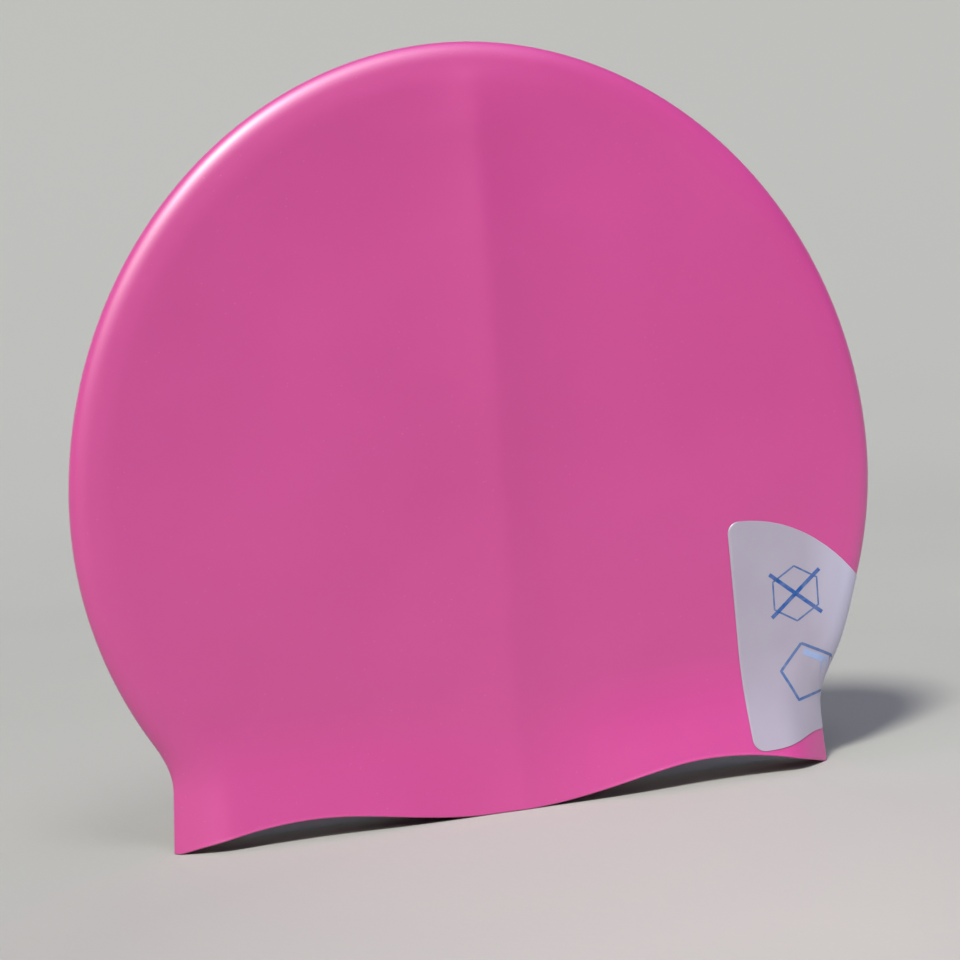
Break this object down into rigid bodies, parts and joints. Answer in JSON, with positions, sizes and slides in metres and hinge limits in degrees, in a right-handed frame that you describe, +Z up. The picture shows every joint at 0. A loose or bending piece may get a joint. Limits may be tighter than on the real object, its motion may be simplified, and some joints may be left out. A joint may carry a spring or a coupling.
{
  "type": "swim cap",
  "caption": "Moulded silicone swim cap, laid flat and standing on its wavy hem, with a rounded rim, drawn-in neck, soft ridge down each panel and a film label folded round the rear rim.",
  "frame": {"origin": "on the floor under the middle of the cap", "axes": "+X towards the rear rim, which carries the label; +Y through the cap's thickness, towards the panel turned away in the picture; +Z up, from the hem to the top of the dome"},
  "size_m": [0.22, 0.0206, 0.2026],
  "materials": {
    "silicone": "satin pink silicone",
    "film": "thin whitish film with a faint sheen"
  },
  "bodies": {
    "root": {"cap_shell": "silicone", "label": "film"}
  },
  "joints": []
}
